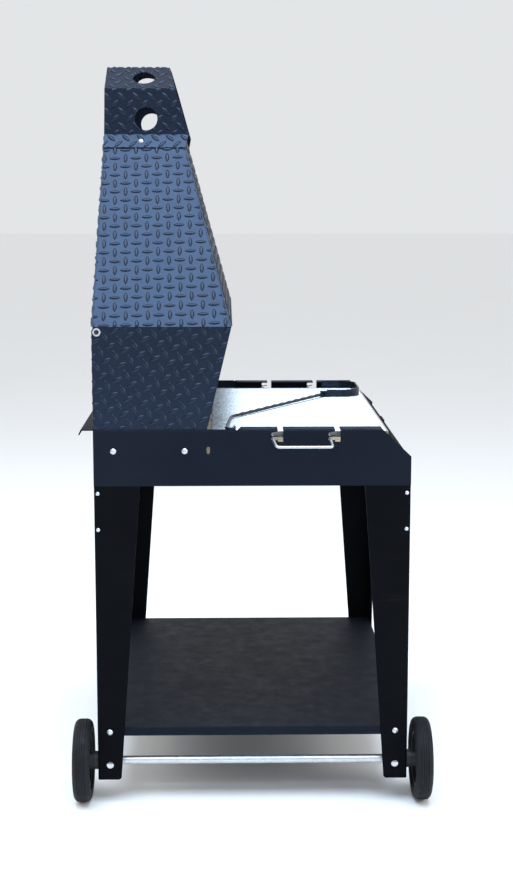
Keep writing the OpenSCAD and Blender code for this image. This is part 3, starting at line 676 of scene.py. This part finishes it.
def hinge_plug(name, side):
    """The black plug in the recess of a hinge pin's head, as rings of (radius, height) in mm."""
    low, high = corners("hinge_pins")
    sunk = 1.2 * MM
    x = (low.x if side < 0 else high.x) - side * sunk
    centre = Vector((x, middle("hinge_pins").y, middle("hinge_pins").z))
    rings, count = ((5.6, 0), (5.2, 0.5), (2.6, 0.8), (2.2, -0.6)), 24
    points = [
        centre + Vector((side * out * MM, r * MM * math.cos(a), r * MM * math.sin(a)))
        for r, out in rings for a in (2 * math.pi * k / count for k in range(count))
    ]
    faces = [
        (i + k, i + (k + 1) % count, i + count + (k + 1) % count, i + count + k)
        for i in range(0, (len(rings) - 1) * count, count) for k in range(count)
    ]
    faces.append(tuple((len(rings) - 1) * count + k for k in range(count)))
    return new_piece(name, turned_outwards(name, points, faces), "axle_spacers")


hinge_plug("hinge_plug_left", -1)
hinge_plug("hinge_plug_right", 1)


# ---------------------------------------------------------------- bricks

def brick_mesh(low, high):
    """One pressed brick with rounded, slightly chipped edges."""
    shape = bmesh.new()
    bmesh.ops.create_cube(shape, size=1)
    size = high - low
    for vert in shape.verts:
        vert.co = (low + high) / 2 + Vector(c * s for c, s in zip(vert.co, size))
    bmesh.ops.bevel(shape, geom=shape.edges[:], offset=1.6 * MM, segments=2, affect="EDGES", profile=0.6)
    bmesh.ops.subdivide_edges(
        shape, edges=[e for e in shape.edges if e.calc_length() > 20 * MM], cuts=14, use_grid_fill=True
    )
    for vert in shape.verts:
        near = vert.co * 60
        wear = noise.fractal(near, 1.0, 2.0, 3) * 0.35 * MM
        chip = max(noise.noise(vert.co * 28) - 0.42, 0) * 6 * MM
        inward = (low + high) / 2 - vert.co
        inward.z *= 4
        edge = sum(min(abs(vert.co[k] - low[k]), abs(high[k] - vert.co[k])) < 3 * MM for k in range(3))
        vert.co += inward.normalized() * (abs(wear) * 0.5 + (chip if edge > 1 else 0))
    return shape


def brick_bed():
    """The CAD bricks' own boxes, each made again as a pressed brick."""
    mesh = frame["nodes"]["firebricks"].data
    shape = bmesh.new()
    shape.from_mesh(mesh)
    bmesh.ops.remove_doubles(shape, verts=shape.verts, dist=0.01 * MM)
    left = set(shape.verts)
    whole = bmesh.new()
    while left:
        seed = left.pop()
        island, queue = [seed], [seed]
        while queue:
            for edge in queue.pop().link_edges:
                for vert in edge.verts:
                    if vert in left:
                        left.discard(vert)
                        island.append(vert)
                        queue.append(vert)
        low = Vector(min(v.co[k] for v in island) for k in range(3))
        high = Vector(max(v.co[k] for v in island) for k in range(3))
        one = brick_mesh(low, high)
        part = bpy.data.meshes.new("brick")
        one.to_mesh(part)
        one.free()
        whole.from_mesh(part)
        bpy.data.meshes.remove(part)
    shape.free()
    mesh = mesh_from("firebrick_bed", whole)
    new_piece("firebrick_bed", mesh, "firebricks", "firebricks", smooth=False)


brick_bed()


# ---------------------------------------------------------------- grate handles

def grate_handle(side, sign):
    """One bent wire: out of the panel, down to its two corners and straight between them."""
    low, high = corners(f"grate_handle_{side}")
    node = f"grate_handle_{side}"
    rods_low, rods_high = corners("grate_rods")
    face = high.x if sign < 0 else low.x
    tip = (low.x if sign < 0 else high.x) - sign * ROD_RADIUS
    rod_z = middle("grate_rods").z
    ys = (rods_low.y + ROD_RADIUS, rods_high.y - ROD_RADIUS)
    drop_z = low.z + ROD_RADIUS
    inside = face - sign * 6 * MM
    outside = face + sign * 3 * MM
    ends = [
        Vector((inside, ys[0], rod_z)),
        Vector((outside, ys[0], rod_z)),
        Vector((tip, ys[0] - 5 * MM, drop_z)),
        Vector((tip, ys[1] - 8 * MM, drop_z)),
        Vector((outside, ys[1], rod_z)),
        Vector((inside, ys[1], rod_z)),
    ]
    route = rounded_route(ends, 8 * MM, 10)
    points, faces = swept(route, circle(ROD_RADIUS * 0.99, 20))
    new_piece(node + "_wire", mesh_of(node + "_wire", points, faces), node, node)


grate_handle("left", -1)
grate_handle("right", 1)


# ---------------------------------------------------------------- ember rake

# Half the bar's thickness, the radius of the hook, and how far the bend reaches each way.
RAKE_HALF = 3.5 * MM
RAKE_HOOK = 10 * MM
BEND_REACH = 24 * MM


def rake_places():
    """The rake's bend, its foot in the socket and the start of its hook, from the CAD nodes."""
    rod_low, rod_high = corners("rake_rod")
    grip_low, grip_high = corners("rake_handle")
    knuckle = 1.3 * RAKE_HALF
    z = middle("rake_handle").z
    bend = Vector((rod_low.x + knuckle, rod_high.y - knuckle, z))
    foot = Vector((middle("rake_socket").x, rod_low.y + 1.2 * RAKE_HALF, z + 3 * MM))
    end = Vector((grip_low.x + RAKE_HOOK + RAKE_HALF, grip_high.y - RAKE_HALF, z))
    return bend, foot, end


def rake_rod():
    """A square bar with hollowed faces, twisted from the socket to the bend."""
    bend, foot, _ = rake_places()
    bend += (foot - bend).normalized() * BEND_REACH
    steps = 420
    turn_length = 164 * MM
    side = 0.97 * RAKE_HALF
    length = (foot - bend).length
    path = [bend.lerp(foot, i / steps) for i in range(steps + 1)]
    fade = 18 * MM
    turn, angle = [], 0.0
    for i in range(steps + 1):
        at = i / steps * length
        pace = min(1, at / fade, (length - at) / fade)
        angle += 2 * math.pi / turn_length * max(pace, 0) * length / steps
        turn.append(angle)
    hollow = ((1, -0.8), (0.78, -0.35), (0.7, 0), (0.78, 0.35), (1, 0.8))
    section = [
        (side * (u * ca - v * sa), side * (u * sa + v * ca))
        for ca, sa in ((1, 0), (0, 1), (-1, 0), (0, -1)) for u, v in hollow
    ]
    points, faces = swept(path, section, turn=turn)
    mesh = mesh_of("rake_twist", points, faces)
    new_piece("rake_twist", mesh, "rake_rod", "rake_rod")
    mesh.set_sharp_from_angle(angle=math.radians(40))


def rake_grip():
    """The smooth end: round the bend, straight, and back on itself in an open hook."""
    bend, foot, end = rake_places()
    turn = end - Vector((0, RAKE_HOOK, 0))
    start = bend + (foot - bend).normalized() * (BEND_REACH + 3 * MM)
    route = rounded_route([start, bend, end], BEND_REACH)
    route.pop()
    for k in range(25):
        a = math.pi / 2 + math.pi * k / 24
        route.append(turn + Vector((RAKE_HOOK * math.cos(a), RAKE_HOOK * math.sin(a), 0)))
    route += [turn + Vector((k * 4.4 * MM, -RAKE_HOOK, 0)) for k in range(1, 6)]
    points, faces = swept(route, circle(RAKE_HALF, 20))
    new_piece("rake_grip", mesh_of("rake_grip", points, faces), "rake_handle", "rake_handle")


def rake_band():
    """The head: a flat band on edge, drawn as a shallow U, with a forged, slightly uneven rim."""
    low, high = corners("rake_head")
    thick = 3.8 * MM
    x0, x1, y0, y1 = low.x + thick / 2, high.x - thick / 2, low.y + thick / 2, high.y
    r = 62 * MM - thick / 2

    def quarter(cx, start):
        turns = (start + math.pi / 2 * k / 14 for k in range(1, 15))
        return [Vector((cx + r * math.cos(a), y0 + r + r * math.sin(a), 0)) for a in turns]

    path = [Vector((x0, y1 + (y0 + r - y1) * k / 6, 0)) for k in range(7)]
    path += quarter(x0 + r, math.pi)
    path += [Vector((x0 + r + (x1 - x0 - 2 * r) * k / 10, y0, 0)) for k in range(1, 11)]
    path += quarter(x1 - r, 1.5 * math.pi)
    path += [Vector((x1, y0 + r + (y1 - y0 - r) * k / 6, 0)) for k in range(1, 7)]
    half_z = (high.z - low.z) / 2
    z = (high.z + low.z) / 2
    path = [p + Vector((0, 0, z)) for p in path]
    b, c = thick / 2, 0.9 * MM
    section = [
        (b, half_z - c), (b - c, half_z), (c - b, half_z), (-b, half_z - c),
        (-b, c - half_z), (c - b, -half_z), (b - c, -half_z), (b, c - half_z),
    ]
    points, faces = swept(path, section)
    points = [p + UP * noise.noise(p * 35) * 0.5 * MM * (p.z > z) for p in points]
    mesh = mesh_of("rake_band", points, faces)
    new_piece("rake_band", mesh, "rake_head", "rake_head")
    mesh.set_sharp_from_angle(angle=math.radians(35))


rake_rod()
rake_grip()
rake_band()
softened("rake_socket", 1.4 * MM)


# ---------------------------------------------------------------- wheels

def tyre_profile():
    """The tyre's section: a crowned, ribbed tread, round shoulders and a bead against the rim."""
    lo, hi = corners("tyre_front")
    radius = (hi.z - lo.z) / 2
    half = (hi.y - lo.y) / 2
    bore = 70 * MM
    bead = ((0, 6), (3, 1.2), (6, 0.6), (7, 1.6), (9, 1.6), (10, 0))
    shoulder = 14 * MM
    flat = half - shoulder
    ribs, rib, groove = 5, 4.6 * MM, 1.3 * MM
    edge = (ribs * rib + (ribs - 1) * groove) / 2

    def crown(y):
        off = max(abs(y) - flat, 0)
        return radius - shoulder + math.sqrt(shoulder ** 2 - off ** 2)

    profile = [(bore + out * MM, -half + inset * MM) for out, inset in bead]
    last = math.acos((edge - flat) / shoulder)
    for k in range(9):
        a = last * k / 9
        profile.append((radius - shoulder + shoulder * math.sin(a), -flat - shoulder * math.cos(a)))
    side_points = len(profile)
    y = -edge
    for k in range(ribs):
        for place in (y, y + 0.5 * rib, y + rib):
            profile.append((crown(place), place))
        y += rib
        if k < ribs - 1:
            depth = crown(y) - 2.2 * MM
            profile += [(depth, y + 0.2 * MM), (depth, y + groove - 0.2 * MM)]
            y += groove
    return profile + [(r, -y) for r, y in reversed(profile[:side_points])]


def tyre(name, node):
    points, faces = lathed(tyre_profile(), middle(node))
    mesh = turned_outwards(name, points, faces)
    new_piece(name, mesh, node, node)
    mesh.set_sharp_from_angle(angle=math.radians(35))


tyre("tyre_front_ribbed", "tyre_front")
tyre("tyre_rear_ribbed", "tyre_rear")
for node in ("wheel_hub_front", "wheel_hub_rear"):
    softened(node, 1.0 * MM)


# ---------------------------------------------------------------- smooth shading on the CAD nodes kept

for name, piece in frame["nodes"].items():
    piece.data.shade_smooth()
    piece.data.set_sharp_from_angle(angle=math.radians(32))


# ---------------------------------------------------------------- studio

def studio_floor():
    outline = [(-30, -30, 0), (60, -30, 0), (60, 30, 0), (-30, 30, 0)]
    mesh = mesh_of("studio_floor", outline, [(0, 1, 2, 3)])
    floor = bpy.data.objects.new("studio_floor", mesh)
    bpy.context.scene.collection.objects.link(floor)
    s = Surface("studio_floor", roughness=0.8, specular=0.1)
    body = s.ramp(s.noise(0.8, detail=3), (0.3, 0.935), (0.7, 0.945))
    mesh.materials.append(s.finish(body))


def area_light(name, place, target, size, power, colour):
    light = bpy.data.lights.new(name, "AREA")
    light.shape = "RECTANGLE"
    light.size, light.size_y = size
    light.energy = power
    light.color = colour
    lamp = bpy.data.objects.new(name, light)
    lamp.location = place
    lamp.rotation_euler = (Vector(target) - Vector(place)).to_track_quat("-Z", "Y").to_euler()
    bpy.context.scene.collection.objects.link(lamp)


def studio_world():
    world = bpy.data.worlds.new("studio")
    bpy.context.scene.world = world
    world.use_nodes = True
    background = world.node_tree.nodes["Background"]
    background.inputs["Color"].default_value = (0.96, 0.98, 1.0, 1)
    background.inputs["Strength"].default_value = 0.8


def camera():
    """At the wheel end, higher than the hood's crease, looking along the cart and a little down."""
    place = Vector((-4.1055, 0.0605, 1.458))
    forward = Vector((0.98841, -0.01898, -0.15062)).normalized()
    right = Vector((-0.0192, -0.9998, 0)).normalized()
    up = right.cross(forward)
    data = bpy.data.cameras.new("camera")
    data.lens = 64.55
    data.sensor_width = 36
    eye = bpy.data.objects.new("camera", data)
    eye.matrix_world = Matrix((
        (right.x, up.x, -forward.x, place.x),
        (right.y, up.y, -forward.y, place.y),
        (right.z, up.z, -forward.z, place.z),
        (0, 0, 0, 1),
    ))
    bpy.context.scene.collection.objects.link(eye)
    bpy.context.scene.camera = eye


studio_floor()
studio_world()
area_light("sky", (-1.9, 0.2, 4.6), (-1.7, 0.2, 0), (4.0, 4.4), 320, (0.64, 0.81, 1.0))
area_light("front", (-2.2, -3.6, 2.4), (0, 0, 1.0), (2.4, 2.0), 60, (1.0, 0.98, 0.95))
area_light("back", (1.0, 3.6, 2.8), (0, 0.2, 1.1), (2.4, 2.0), 50, (1.0, 0.98, 0.95))
bpy.context.scene.view_settings.view_transform = "Standard"
camera()
